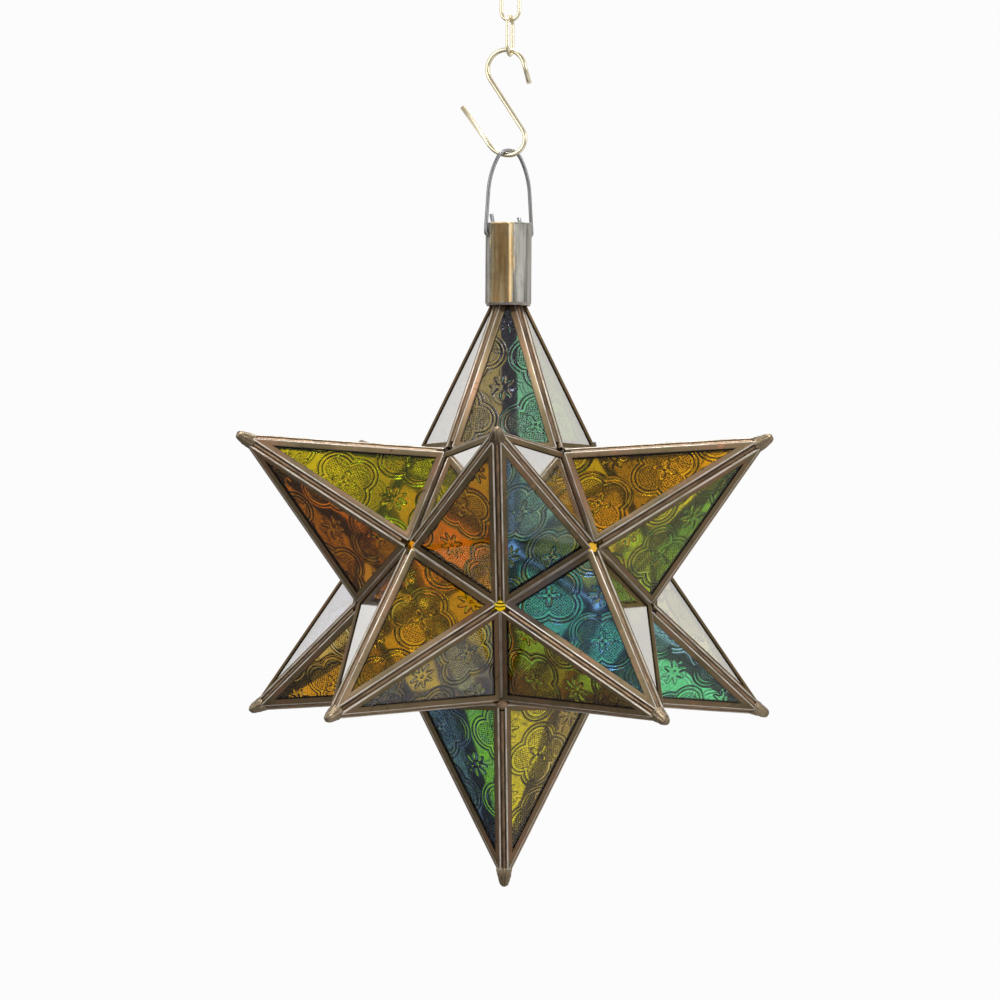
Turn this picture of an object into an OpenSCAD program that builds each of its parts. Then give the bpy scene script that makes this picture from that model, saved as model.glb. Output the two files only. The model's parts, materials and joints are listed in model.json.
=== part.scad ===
// Hanging star lantern: a core of twelve faces carries twelve hollow points. Each point is
// five glass panes in mitred U-shaped channel, soldered along its ridges and valleys.
// The top point ends in a neck tube, hung by a wire bail, an S-hook and two chain links.
// One back point is a hinged door to the candle inside.
// The origin is where the uppermost link hangs; +Z is up and -Y is the front.

/* [Star] */
// Distance from the centre of the star to the tip of a point
tip_r = 200; // [180:1:230]
// Edge of the twelve-sided core, which is also the base of every pane
core_edge = 72.6; // [66:0.1:78]

/* [Channel and glass] */
// Thickness of the channel's sheet metal
sheet = 0.5; // [0.4:0.05:0.7]
// Width of the channel's flanges, seen from the front
flange_w = 4.4; // [3.8:0.1:5.4]
// Height of the rounded crown on the outer flange
crown_h = 0.5; // [0.3:0.05:0.8]
// Thickness of a glass pane
glass_t = 2; // [1.6:0.1:2.4]
// Play between the glass and each flange
glass_play = 0.1; // [0.05:0.01:0.15]
// Play between the edge of the glass and the web of the channel
glass_edge_play = 0.3; // [0.2:0.05:0.5]
// Gap between the channels of neighbouring panes
seam_gap = 0.2; // [0.1:0.05:0.3]
// Radius of the open gap where the corners of three points meet
corner_gap = 3.8; // [3:0.1:4]
// Depth of the solder that fills the inner side of a valley
solder_depth = 2.6; // [2:0.1:3]
// Radius of the blunt end of a tip
tip_end_r = 1.9; // [1.5:0.1:2.2]
// Radius of the solder at the foot of a tip
tip_foot_r = 4.1; // [3.6:0.1:4.4]

/* [Neck] */
// Outer diameter of the neck tube
neck_d = 29.6; // [28:0.1:32]
// Wall of the neck tube
neck_wall = 0.8; // [0.6:0.05:1]
// Length of the neck tube
neck_len = 50.8; // [44:0.1:58]
// Radius of the rolled bead on the rim
bead_r = 0.6; // [0.4:0.05:0.7]
// Width of the lapped seam, as an angle
lap_angle = 34; // [20:1:50]
// Height that the top point stands inside the tube
neck_sink = 1.5; // [1:0.1:3]
// Width of the solder between the tube and the ridges of the top point
collar_w = 1.3; // [1:0.1:1.8]
// Height of that solder inside the tube
collar_h = 2.5; // [2:0.1:3.5]
// Height of the solder under the tube's foot
collar_drop = 1.8; // [1:0.1:2.5]

/* [Bail] */
// Diameter of the bail's wire
bail_wire_d = 2.4; // [2:0.1:2.6]
// Height of the bail's arch over its pivot
bail_h = 55.2; // [50:0.1:62]
// Depth of the pivot holes under the rim
pivot_drop = 7.5; // [6:0.1:10]
// Radius of the arch
arch_r = 9.5; // [8.5:0.1:10.5]
// Radius of the bends at the bail's feet
foot_r = 2.4; // [2.2:0.1:2.8]
// Height of the turned-up ends over the foot bends
stub_len = 11; // [9:0.1:12]
// Length of wire that crosses the tube's wall between the foot bends
foot_len = 1.6; // [1.2:0.1:2]
// Turn of the bail's plane about the vertical
bail_turn = 31; // [28:1:40]

/* [Hook and chain] */
// Diameter of the hook's wire
hook_wire_d = 3.2; // [2.8:0.1:3.4]
// Radius of the hook's lower loop
hook_low_r = 10.5; // [10:0.1:12]
// Radius of the hook's upper loop
hook_top_r = 12.4; // [12:0.1:14]
// Height from the centre of the lower loop to that of the upper one
hook_rise = 45; // [42:0.1:50]
// Distance that the upper loop leans to the left
hook_lean = 2.5; // [0:0.1:3]
// Radius of the opened bend before the lower free end
hook_arm_r = 16.6; // [15:0.1:18]
// Length of the straight lower end
hook_arm = 31; // [25:0.1:34]
// Length of the straight upper end
hook_tip = 13.5; // [10:0.1:15]
// Diameter of the links' wire
link_wire_d = 2.5; // [2.2:0.1:2.8]
// Outer width of a link
link_w = 14.5; // [13.5:0.1:16]
// Outer length of a link
link_len = 27.8; // [26:0.1:32]
// Gap between wires that hang in one another
hang_gap = 0.3; // [0.25:0.05:0.35]
// Turn of the hook's plane about the vertical
hook_turn = 14; // [10:1:18]

/* [Door] */
// Diameter of the hinge pin
pin_d = 2; // [1.8:0.1:2.2]
// Wall of a knuckle
knuckle_wall = 0.9; // [0.7:0.05:1]
// Length of a knuckle
knuckle_len = 9; // [8:0.1:10]
// Radial play of the pin in the knuckles
pin_play = 0.05; // [0.03:0.01:0.08]
// Gap between neighbouring knuckles, and between a knuckle and the other leaf's side
knuckle_gap = 0.3; // [0.25:0.05:0.4]
// Width of a hinge leaf
leaf_w = 5.4; // [4.6:0.1:6.4]
// Thickness of a hinge leaf
leaf_t = 0.6; // [0.5:0.05:0.8]
// Height of the pin's bent end
pin_end_h = 4; // [3:0.1:5]
// Angle through which the door opens; the pin's end is bent over by half of it
door_swing = 100; // [90:1:104]
// Diameter of the pull's wire
pull_wire_d = 1.6; // [1.4:0.1:1.8]
// Radius of the pull's bow
pull_r = 4.5; // [4:0.1:6]
// Distance of the pull from the lowest corner of the door
pull_up = 16; // [14:0.5:24]

/* [Candle] */
// Width of the bar across the foot of the core
bar_w = 12; // [10:0.5:16]
// Thickness of the bar
bar_t = 1; // [0.8:0.1:1.5]
// Length of the bar's bearing on the channels
bar_bearing = 2.4; // [1.5:0.1:3]
// Diameter of the candle's metal cup
candle_d = 38; // [36:0.5:40]
// Height of the candle's metal cup
candle_h = 15; // [13:0.5:17]
// Play of the candle in its holder
candle_play = 0.6; // [0.4:0.1:0.8]
// Wall of the holder
holder_wall = 0.8; // [0.6:0.1:1]
// Height of the holder
holder_h = 12; // [10:0.5:13]
// Wall of the candle's metal cup
foil = 0.3; // [0.2:0.05:0.4]
// Depth of the wax under the rim of its cup
wax_drop = 2; // [1.5:0.1:3]
// Diameter of the wick
wick_d = 1.4; // [1.2:0.1:1.8]
// Height of the wick over the wax
wick_h = 8; // [6:0.5:10]

/* [Hidden] */
$fn = 64;

patina = [0.36, 0.31, 0.22];
tin = [0.62, 0.61, 0.58];
pale_brass = [0.80, 0.77, 0.62];
neck_brass = [0.66, 0.58, 0.42];
dark_steel = [0.34, 0.34, 0.34];
amber = [0.78, 0.50, 0.12, 0.55];
green = [0.12, 0.48, 0.28, 0.55];
teal = [0.16, 0.45, 0.52, 0.55];
olive = [0.50, 0.52, 0.12, 0.55];
foil_grey = [0.80, 0.80, 0.82];
wax_white = [0.93, 0.92, 0.88];

// A regular twelve-sided core: five panes to a point, five points to a ring
sides = 5;
step_angle = 360 / sides;
ring_lean = atan(1 / 2);
base_r = core_edge / (2 * sin(step_angle / 2));
base_in = core_edge / (2 * tan(step_angle / 2));
core_in = base_in * tan(acos(-1 / sqrt(sides)) / 2);
mid_r = norm([base_in, core_in]);
corner_r = norm([base_r, core_in]);
point_h = tip_r - core_in;
slant = norm([base_in, point_h]);
pane_tilt = atan(point_h / base_in);
half_apex = atan(core_edge / 2 / slant);
ridge_rise = atan(point_h / base_r);
// Half of the outside angle of a valley, and half of the inside angle of a ridge
valley_half = acos((point_h * core_in - base_in * base_in) / (slant * mid_r));
ridge_half = acos(sin(pane_tilt) * sin(step_angle / 2));

// The channel's depth, and how far it stands back from a ridge so that two just meet
channel_t = crown_h + 2 * sheet + glass_t + 2 * glass_play;
ridge_inset = channel_t / tan(ridge_half) + seam_gap / 2;
pane_outline = [[-core_edge / 2, 0], [core_edge / 2, 0], [0, slant]];
channel_insets = [seam_gap / 2, ridge_inset, ridge_inset];
glass_insets = [for (s = channel_insets) s + sheet + glass_edge_play];
glass_top = -(crown_h + sheet + glass_play);
frame_top = (slant - ridge_inset / sin(half_apex)) * sin(pane_tilt);
crown_steps = 6;

// The neck, and the height of its foot over the centre of the star
neck_r = neck_d / 2;
neck_in_r = neck_r - neck_wall;
neck_foot_h = core_in + point_h * (1 - (neck_in_r - collar_w) / base_r);
top_cut = neck_foot_h + neck_sink - core_in;
top_slant = slant * top_cut / point_h;
pivot_h = neck_foot_h + neck_len - pivot_drop;
cut_over = 1;
wire_swell = 0.02;
// Gap under what is soldered on face to face
seat_gap = 0.02;

// Wires, and the heights at which they hang in one another, from the top down
link_r = link_wire_d / 2;
hook_r = hook_wire_d / 2;
bail_r = bail_wire_d / 2;
link_in = link_len - 2 * link_wire_d;
link_side = (link_w - link_wire_d) / 2;
link_run = link_len - link_w;
upper_link_z = link_wire_d - link_len / 2;
lower_hang_z = -link_in - link_r;
lower_link_z = hang_gap - link_in + link_wire_d - link_len / 2;
hook_hang_z = hang_gap - 2 * link_in - link_r;
// The hook's two loops, and the slant run that touches both
hook_seat = hook_top_r - hook_r - hang_gap - link_r;
hook_top_z = hook_hang_z - sqrt(hook_seat * hook_seat - hook_lean * hook_lean);
hook_low_z = hook_top_z - hook_rise;
loop_gap = norm([hook_lean, hook_rise]);
hook_slant = atan(hook_lean / hook_rise) + asin((hook_low_r + hook_top_r) / loop_gap);
hook_run = sqrt(loop_gap * loop_gap - pow(hook_low_r + hook_top_r, 2));
hook_tip_angle = 16;
hook_arm_angle = 53.5;
bail_hang_z = hook_low_z - hook_low_r;
bail_top_z = bail_hang_z + hook_r + hang_gap + bail_r;
star_z = bail_top_z - bail_h - pivot_h;

// The bail's half outline: an arch, a shoulder that joins it to a nearly upright leg
arch_angle = 60;
leg_angle = 86;
lean_in = 18;
lean_out = -12;
leg_x = neck_r + bead_r + hang_gap + bail_r + foot_r * (1 - sin(leg_angle));
shoulder_dx = sin(leg_angle) - sin(arch_angle);
shoulder_dz = cos(arch_angle) - cos(leg_angle);
rest_x = leg_x - arch_r * sin(arch_angle);
rest_z = bail_h - arch_r * (1 - cos(arch_angle)) - foot_r * (1 + cos(leg_angle));
bail_det = shoulder_dx * sin(leg_angle) - shoulder_dz * cos(leg_angle);
shoulder_r = (rest_x * sin(leg_angle) - rest_z * cos(leg_angle)) / bail_det;
leg_len = (shoulder_dx * rest_z - shoulder_dz * rest_x) / bail_det;

// The hinge: its pin lies in the valley over the door's top edge
door_az = 2 * step_angle;
pin_r = pin_d / 2;
knuckle_r = pin_r + pin_play + knuckle_wall;
pin_off = knuckle_r + knuckle_gap;
pin_up = pin_off / sin(valley_half);
knuckle_pitch = knuckle_len + knuckle_gap;

// Candle heights over the centre of the star
bar_z = -core_in + channel_t * cos(2 * valley_half + pane_tilt - 180) + seam_gap / 2;
holder_z = bar_z + bar_t;
candle_r = candle_d / 2;
wax_top = holder_z + holder_wall + candle_h - wax_drop;

// Geometry of outlines

function unit(v) = v / norm(v);
function inner_normal(outline, i) =
    let (s = unit(outline[(i + 1) % len(outline)] - outline[i])) [-s.y, s.x];

// A corner moved in so that both its sides stand back by their own distances
function inset_corner(corner, n1, n2, d1, d2) =
    let (c = n1 * n2) corner + ((d1 - c * d2) * n1 + (d2 - c * d1) * n2) / (1 - c * c);

function inset_outline(outline, distances) = [for (i = [0 : len(outline) - 1])
    let (before = (i + len(outline) - 1) % len(outline))
    inset_corner(outline[i], inner_normal(outline, before), inner_normal(outline, i),
        distances[before], distances[i])];

// The height of the crown's arc at a share of the flange's width
function crown_at(share) = -crown_h * pow(2 * share - 1, 2);

// A U-shaped channel, as [distance in from its web, height]: crown, lips, slot and back
channel_profile = concat(
    [for (i = [0 : crown_steps]) [flange_w * i / crown_steps, crown_at(i / crown_steps)]],
    [[flange_w, -crown_h - sheet], [sheet, -crown_h - sheet],
     [sheet, sheet - channel_t], [flange_w, sheet - channel_t],
     [flange_w, -channel_t], [0, -channel_t]]);

// The channel carried round an outline with mitred corners
module channel_ring(outline, distances, profile) {
    n = len(outline);
    m = len(profile);
    points = [for (p = profile)
        for (c = inset_outline(outline, [for (d = distances) d + p.x])) [c.x, c.y, p.y]];
    faces = [for (j = [0 : m - 1]) for (i = [0 : n - 1])
        [j * n + i, ((j + 1) % m) * n + i, ((j + 1) % m) * n + (i + 1) % n, j * n + (i + 1) % n]];
    polyhedron(points, faces, convexity = 4);
}

// Places in the star. A point's own frame has +Z along the point and its first pane on +X

module at_star() {
    translate([0, 0, star_z]) children();
}

module top_point() {
    at_star() rotate([0, 0, -90]) children();
}

module bottom_point() {
    at_star() rotate([180, 0, 0]) rotate([0, 0, -90]) children();
}

module upper_point(azimuth) {
    at_star() rotate([90 - ring_lean, 0, azimuth]) rotate([0, 0, 90]) children();
}

module lower_point(azimuth) {
    at_star() rotate([90 + ring_lean, 0, azimuth]) rotate([0, 0, -90]) children();
}

// A pane's own frame: its base edge on X, the slant up Y, and +Z out of the glass
module on_pane(k) {
    rotate([0, 0, k * step_angle]) translate([base_in, 0, core_in])
        rotate([0, 0, 90]) rotate([pane_tilt, 0, 0]) children();
}

// The frame of a base edge: the edge on Y and +Z straight out from the centre
module on_edge(k) {
    rotate([0, 0, k * step_angle]) translate([base_in, 0, core_in])
        rotate([0, atan(base_in / core_in), 0]) children();
}

// The channels of a point, with the corners at its foot snipped off
module point_frame() {
    difference() {
        for (k = [0 : sides - 1])
            on_pane(k) channel_ring(pane_outline, channel_insets, channel_profile);
        for (k = [0 : sides - 1]) rotate([0, 0, (k + 1 / 2) * step_angle])
            rotate([0, atan(base_r / core_in), 0]) translate([0, 0, corner_r - 2 * channel_t])
                cylinder(r = corner_gap, h = 4 * channel_t, $fn = 6);
    }
}

module point_glass() {
    for (k = [0 : sides - 1])
        on_pane(k) translate([0, 0, glass_top - glass_t])
            linear_extrude(glass_t) polygon(inset_outline(pane_outline, glass_insets));
}

// Straps that close a pane's channel under the neck, on both sides of the glass
module neck_straps() {
    for (z = [-crown_h - sheet, -channel_t]) translate([0, 0, z]) linear_extrude(sheet)
        intersection() {
            polygon(inset_outline(pane_outline, channel_insets));
            translate([-core_edge / 2, top_slant - flange_w]) square([core_edge, slant - top_slant]);
        }
}

module below_neck() {
    difference() {
        children();
        translate([0, 0, core_in + top_cut]) cylinder(r = base_r, h = point_h);
    }
}

// Solder drawn over the meeting ends of the channels, ending in a blunt tip
module tip_cap() {
    cap_h = point_h - frame_top - tip_end_r;
    translate([0, 0, core_in + frame_top]) {
        cylinder(r1 = tip_foot_r, r2 = tip_end_r, h = cap_h);
        translate([0, 0, cap_h]) sphere(r = tip_end_r);
    }
}

// A fillet that fills the inner side of a valley between two channels
module valley_fillet(k) {
    inner = [for (d = [sheet, sheet + solder_depth]) [d * cos(valley_half), -d * sin(valley_half)]];
    fillet_l = core_edge - 4 * ridge_inset;
    on_edge(k) rotate([90, 0, 0]) linear_extrude(fillet_l, center = true)
        polygon([inner[0], inner[1], [-inner[1].x, inner[1].y], [-inner[0].x, inner[0].y]]);
}

// A round wire bent in the XZ plane from the origin along +X. Each step is a straight run,
// then a bend of a radius through an angle: up where it is positive, down where negative.
// A ball a hair wider than the wire closes each joint between two pieces
module wire(steps, r, i = 0) {
    if (i < len(steps)) {
        run = steps[i][0];
        bend_r = steps[i][1];
        turn = steps[i][2];
        side = turn < 0 ? -1 : 1;
        if (run > 0) rotate([0, 90, 0]) cylinder(r = r, h = run);
        if (i > 0) sphere(r = r + wire_swell);
        translate([run, 0, 0]) {
            if (run > 0 && turn != 0) sphere(r = r + wire_swell);
            if (turn != 0) mirror([0, 0, turn < 0 ? 1 : 0]) wire_bend(bend_r, side * turn, r);
            translate([0, 0, side * bend_r]) rotate([0, -turn, 0]) translate([0, 0, -side * bend_r])
                wire(steps, r, i + 1);
        }
    }
}

module wire_bend(bend_r, turn, r) {
    translate([0, 0, bend_r]) rotate([90, 0, 0]) rotate([0, 0, -90])
        rotate_extrude(angle = turn) translate([bend_r, 0]) circle(r = r);
}

// Hanging hardware

// A link in the XZ plane: two straight sides and two round ends
module link() {
    for (s = [-1, 1]) {
        translate([s * link_side, 0, -link_run / 2]) cylinder(r = link_r, h = link_run);
        rotate([0, 90 - 90 * s, 0]) translate([0, 0, link_run / 2]) rotate([90, 0, 0])
            rotate_extrude(angle = 180) translate([link_side, 0]) circle(r = link_r);
    }
}

module upper_link() {
    color(pale_brass) rotate([0, 0, -hook_turn]) translate([0, 0, upper_link_z]) link();
}

module lower_link() {
    color(pale_brass) rotate([0, 0, 90 - hook_turn]) translate([0, 0, lower_link_z]) link();
}

module s_hook() {
    color(pale_brass) rotate([0, 0, -hook_turn]) translate([0, 0, hook_low_z - hook_low_r]) {
        wire([[0, hook_low_r, 90 + hook_slant],
            [hook_run, hook_top_r, hook_tip_angle - 180 - hook_slant],
            [hook_tip, 0, 0]], hook_r);
        sphere(r = hook_r + wire_swell);
        mirror([1, 0, 0]) wire([[0, hook_arm_r, hook_arm_angle], [hook_arm, 0, 0]], hook_r);
    }
}

// From the top of the arch, down the leg, in through the tube's wall and up inside it
module half_bail(lean) {
    wire([[0, arch_r, -arch_angle],
        [0, shoulder_r, arch_angle - leg_angle],
        [leg_len, foot_r, leg_angle - 180],
        [foot_len, foot_r, lean - 90],
        [stub_len, 0, 0]], bail_r);
}

module bail() {
    color(dark_steel) rotate([0, 0, bail_turn]) translate([0, 0, bail_top_z]) {
        half_bail(lean_in);
        mirror([1, 0, 0]) half_bail(lean_out);
        sphere(r = bail_r + wire_swell);
    }
}

// Neck: a rolled tube with a lapped seam and a beaded rim, cross-drilled for the bail
module neck_tube() {
    lap_start = -75;
    color(neck_brass) at_star() difference() {
        translate([0, 0, neck_foot_h]) {
            rotate_extrude() translate([neck_in_r, 0]) square([neck_wall, neck_len]);
            translate([0, 0, neck_len]) rotate_extrude()
                translate([neck_r - bead_r / 2, 0]) circle(r = bead_r);
            rotate([0, 0, lap_start]) rotate_extrude(angle = lap_angle)
                translate([neck_r - sheet, 0]) square([2 * sheet, neck_len - bead_r]);
        }
        translate([0, 0, pivot_h]) rotate([0, 90, bail_turn])
            cylinder(r = bail_r + hang_gap, h = 2 * (neck_r + cut_over), center = true);
    }
}

// A five-sided pyramid on a point's nominal faces
module point_hull() {
    foot = [for (k = [0 : sides - 1])
        [base_r * cos((k + 1 / 2) * step_angle), base_r * sin((k + 1 / 2) * step_angle), core_in]];
    polyhedron(concat(foot, [[0, 0, tip_r]]),
        concat([[for (k = [0 : sides - 1]) k]],
            [for (k = [0 : sides - 1]) [(k + 1) % sides, k, sides]]));
}

module neck_solder() {
    color(tin) difference() {
        at_star() translate([0, 0, neck_foot_h - collar_drop]) {
            cylinder(r1 = neck_in_r, r2 = neck_r, h = collar_drop - seat_gap);
            cylinder(r = neck_in_r - seat_gap, h = collar_drop + collar_h);
        }
        top_point() point_hull();
    }
}

// Channel frames, one node to a point

module top_frame() {
    color(patina) top_point() below_neck() {
        point_frame();
        for (k = [0 : sides - 1]) on_pane(k) neck_straps();
    }
}

module front_frame() { color(patina) upper_point(0) point_frame(); }
module right_frame() { color(patina) upper_point(step_angle) point_frame(); }
module door_frame() { color(patina) upper_point(door_az) point_frame(); }
module back_left_frame() { color(patina) upper_point(3 * step_angle) point_frame(); }
module left_frame() { color(patina) upper_point(4 * step_angle) point_frame(); }
module lower_front_right_frame() { color(patina) lower_point(step_angle / 2) point_frame(); }
module lower_right_frame() { color(patina) lower_point(3 * step_angle / 2) point_frame(); }
module lower_back_frame() { color(patina) lower_point(5 * step_angle / 2) point_frame(); }
module lower_left_frame() { color(patina) lower_point(7 * step_angle / 2) point_frame(); }
module lower_front_left_frame() { color(patina) lower_point(9 * step_angle / 2) point_frame(); }
module bottom_frame() { color(patina) bottom_point() point_frame(); }

// Panes, one node to a point

module top_glass() { color(olive) top_point() below_neck() point_glass(); }
module front_glass() { color(amber) upper_point(0) point_glass(); }
module right_glass() { color(amber) upper_point(step_angle) point_glass(); }
module door_glass() { color(green) upper_point(door_az) point_glass(); }
module back_left_glass() { color(amber) upper_point(3 * step_angle) point_glass(); }
module left_glass() { color(olive) upper_point(4 * step_angle) point_glass(); }
module lower_front_right_glass() { color(teal) lower_point(step_angle / 2) point_glass(); }
module lower_right_glass() { color(teal) lower_point(3 * step_angle / 2) point_glass(); }
module lower_back_glass() { color(amber) lower_point(5 * step_angle / 2) point_glass(); }
module lower_left_glass() { color(olive) lower_point(7 * step_angle / 2) point_glass(); }
module lower_front_left_glass() { color(amber) lower_point(9 * step_angle / 2) point_glass(); }
module bottom_glass() { color(green) bottom_point() point_glass(); }

// Solder

module tip_solder() {
    color(tin) {
        for (az = [0, 1, 3, 4]) upper_point(az * step_angle) tip_cap();
        for (az = [1 : 2 : 9]) lower_point(az * step_angle / 2) tip_cap();
        bottom_point() tip_cap();
    }
}

// Every valley but the door's five
module valley_solder() {
    color(tin) {
        for (k = [0, 1, 3, 4]) top_point() valley_fillet(k);
        for (k = [0 : sides - 1]) bottom_point() valley_fillet(k);
        for (az = [0, 1, 3, 4], k = [2, 3]) upper_point(az * step_angle) valley_fillet(k);
        for (az = [0, 3, 4]) upper_point(az * step_angle) valley_fillet(4);
        for (az = [1 : 2 : 9]) lower_point(az * step_angle / 2) valley_fillet(1);
    }
}

module door_tip() { color(tin) upper_point(door_az) tip_cap(); }

// Door hinge, in the frame of the door's top edge: the door lies on its -X side

module on_hinge() {
    upper_point(door_az) on_edge(0) translate([0, 0, pin_up]) children();
}

// Knuckles at the given places along the pin, each on a leaf that lies on the channel's crown
module leaves(turn, places) {
    color(pale_brass) on_hinge() for (p = places) translate([0, p * knuckle_pitch, 0])
        rotate([0, 0, turn]) difference() {
            union() {
                rotate([90, 0, 0]) cylinder(r = knuckle_r, h = knuckle_len, center = true);
                rotate([0, valley_half - 90, 0])
                    translate([0, -knuckle_len / 2, seat_gap - pin_off])
                        cube([leaf_w, knuckle_len, leaf_t]);
            }
            rotate([90, 0, 0])
                cylinder(r = pin_r + pin_play, h = knuckle_len + cut_over, center = true);
        }
}

module fixed_leaves() { leaves(0, [-2, 0, 2]); }
module door_leaves() { leaves(180, [-1, 1]); }

module hinge_pin() {
    pin_l = core_edge - 4 * pin_d;
    color(dark_steel) on_hinge() rotate([0, 0, 90]) translate([-pin_l / 2, 0, 0])
        rotate([door_swing / 2, 0, 0])
            wire([[pin_l - pin_d, pin_d, 90], [pin_end_h - pin_d, 0, 0]], pin_r);
}

// A wire bow in the door's lowest ridge, to lift the door by
module door_pull() {
    pull_wire_r = pull_wire_d / 2;
    sunk = channel_t / sin(ridge_half) - (pull_wire_r + seam_gap) / cos(ridge_half);
    color(dark_steel) upper_point(door_az) translate([-base_r, 0, core_in])
        rotate([0, -ridge_rise, 0]) translate([pull_up, 0, -sunk])
            rotate([0, -90, 0]) wire([[sunk, pull_r, -180], [sunk, 0, 0]], pull_wire_r);
}

// Candle and its holder

module candle_bar() {
    bar_back = base_in + bar_bearing;
    bar_front = base_r - bar_bearing;
    color(pale_brass) at_star()
        translate([-bar_w / 2, -bar_front, bar_z]) cube([bar_w, bar_front + bar_back, bar_t]);
}

module cup(r_in, wall, h) {
    difference() {
        cylinder(r = r_in + wall, h = h);
        translate([0, 0, wall]) cylinder(r = r_in, h = h);
    }
}

module candle_holder() {
    color(pale_brass) at_star() translate([0, 0, holder_z])
        cup(candle_r + candle_play, holder_wall, holder_h);
}

module candle_cup() {
    color(foil_grey) at_star() translate([0, 0, holder_z + holder_wall])
        cup(candle_r - foil, foil, candle_h);
}

module candle_wax() {
    color(wax_white) at_star() translate([0, 0, holder_z + holder_wall + foil])
        cylinder(r = candle_r - foil, h = candle_h - wax_drop - foil);
}

module candle_wick() {
    color(dark_steel) at_star() translate([0, 0, wax_top]) cylinder(r = wick_d / 2, h = wick_h);
}

upper_link();
lower_link();
s_hook();
bail();
neck_tube();
neck_solder();
top_frame();
front_frame();
right_frame();
back_left_frame();
left_frame();
lower_front_right_frame();
lower_right_frame();
lower_back_frame();
lower_left_frame();
lower_front_left_frame();
bottom_frame();
top_glass();
front_glass();
right_glass();
back_left_glass();
left_glass();
lower_front_right_glass();
lower_right_glass();
lower_back_glass();
lower_left_glass();
lower_front_left_glass();
bottom_glass();
tip_solder();
valley_solder();
door_frame();
door_glass();
door_tip();
door_pull();
hinge_pin();
fixed_leaves();
door_leaves();
candle_bar();
candle_holder();
candle_cup();
candle_wax();
candle_wick();
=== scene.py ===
import json
import math
import bpy
import bmesh
import numpy as np
from mathutils import Matrix, Vector
from mathutils import noise as lumps


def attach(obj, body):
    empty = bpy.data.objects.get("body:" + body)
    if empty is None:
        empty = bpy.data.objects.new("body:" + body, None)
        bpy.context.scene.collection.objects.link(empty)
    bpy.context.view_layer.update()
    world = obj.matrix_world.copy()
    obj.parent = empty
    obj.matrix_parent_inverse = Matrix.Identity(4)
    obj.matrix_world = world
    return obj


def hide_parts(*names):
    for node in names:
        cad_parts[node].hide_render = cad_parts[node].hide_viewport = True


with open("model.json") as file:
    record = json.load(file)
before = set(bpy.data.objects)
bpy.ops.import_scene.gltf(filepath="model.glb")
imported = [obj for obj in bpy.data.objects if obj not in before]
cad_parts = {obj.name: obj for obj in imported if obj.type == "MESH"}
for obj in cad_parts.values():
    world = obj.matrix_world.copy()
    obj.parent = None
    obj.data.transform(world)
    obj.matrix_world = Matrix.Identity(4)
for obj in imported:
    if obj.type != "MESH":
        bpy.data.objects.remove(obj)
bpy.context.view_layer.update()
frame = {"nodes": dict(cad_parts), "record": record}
bpy.context.scene.view_settings.view_transform = "Standard"
mm = 0.001
shrinkToMetres = Matrix.Scale(mm, 4)
slotOf = {entry["node"]: entry["material_slot"] for entry in frame["record"]["subparts"]}
bodyOfNode = {node: body for body, nodes in frame["record"]["behaviour"]["bodies"].items() for node in nodes}

# The star's sizes, in millimetres, as the CAD has them
star = {"edge": 72.6, "tip": 200.0, "centre": -381.8515, "sides": 5, "topCut": 176.9}
channel = {"depth": 3.7, "flange": 4.4, "sheet": 0.5, "lip": 0.5, "bend": 0.9, "gap": 0.1, "play": 0.1,
           "ridge": 2.4878, "corner": 3.29}
sides = range(star["sides"])
fifth = math.tau / star["sides"]
baseRadius = star["edge"] / (2 * math.sin(fifth / 2))
baseInner = star["edge"] / (2 * math.tan(fifth / 2))
coreInner = baseInner * math.tan(math.acos(-1 / math.sqrt(5)) / 2)
pointHeight = star["tip"] - coreInner
slant = math.hypot(baseInner, pointHeight)
tilt = math.atan2(pointHeight, baseInner)
halfApex = math.atan2(star["edge"] / 2, slant)
ringLean = math.atan(0.5)
upperPoints = ["front", "right", "door", "back_left", "left"]
lowerPoints = ["lower_front_right", "lower_right", "lower_back", "lower_left", "lower_front_left"]


def turn(angle, axis):
    return Matrix.Rotation(angle, 4, axis)


def pointPlaces():
    quarter = math.pi / 2
    lift = Matrix.Translation((0, 0, star["centre"]))
    places = {"top": lift @ turn(-quarter, "Z"),
              "bottom": lift @ turn(math.pi, "X") @ turn(-quarter, "Z")}
    for i, name in enumerate(upperPoints):
        places[name] = lift @ turn(i * fifth, "Z") @ turn(quarter - ringLean, "X") @ turn(quarter, "Z")
    for i, name in enumerate(lowerPoints):
        azimuth = (i + 0.5) * fifth
        places[name] = lift @ turn(azimuth, "Z") @ turn(quarter + ringLean, "X") @ turn(-quarter, "Z")
    return places


places = pointPlaces()


def panePlace(point, k):
    return (places[point] @ turn(k * fifth, "Z") @ Matrix.Translation((baseInner, 0, coreInner))
            @ turn(math.pi / 2, "Z") @ turn(tilt, "X"))


# Small modelling helpers

def startFresh():
    bpy.ops.object.select_all(action="DESELECT")


def workOn(piece):
    startFresh()
    piece.select_set(True)
    bpy.context.view_layer.objects.active = piece


def editMesh(piece, mode="FACE"):
    workOn(piece)
    bpy.ops.object.mode_set(mode="EDIT")
    bpy.ops.mesh.select_mode(type=mode)
    bpy.ops.mesh.select_all(action="DESELECT")


def leaveEdit():
    bpy.ops.object.mode_set(mode="OBJECT")


def pickEdges(piece, test):
    bm = bmesh.from_edit_mesh(piece.data)
    for edge in bm.edges:
        middle = (edge.verts[0].co + edge.verts[1].co) / 2
        if test(middle, edge):
            edge.select_set(True)
    bm.select_flush(False)
    bmesh.update_edit_mesh(piece.data)


# Names the primitive that was just added and makes its place and size part of its mesh
def settle(name):
    piece = bpy.context.object
    piece.name = name
    bpy.ops.object.transform_apply(location=True, rotation=True, scale=True)
    return piece


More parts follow.
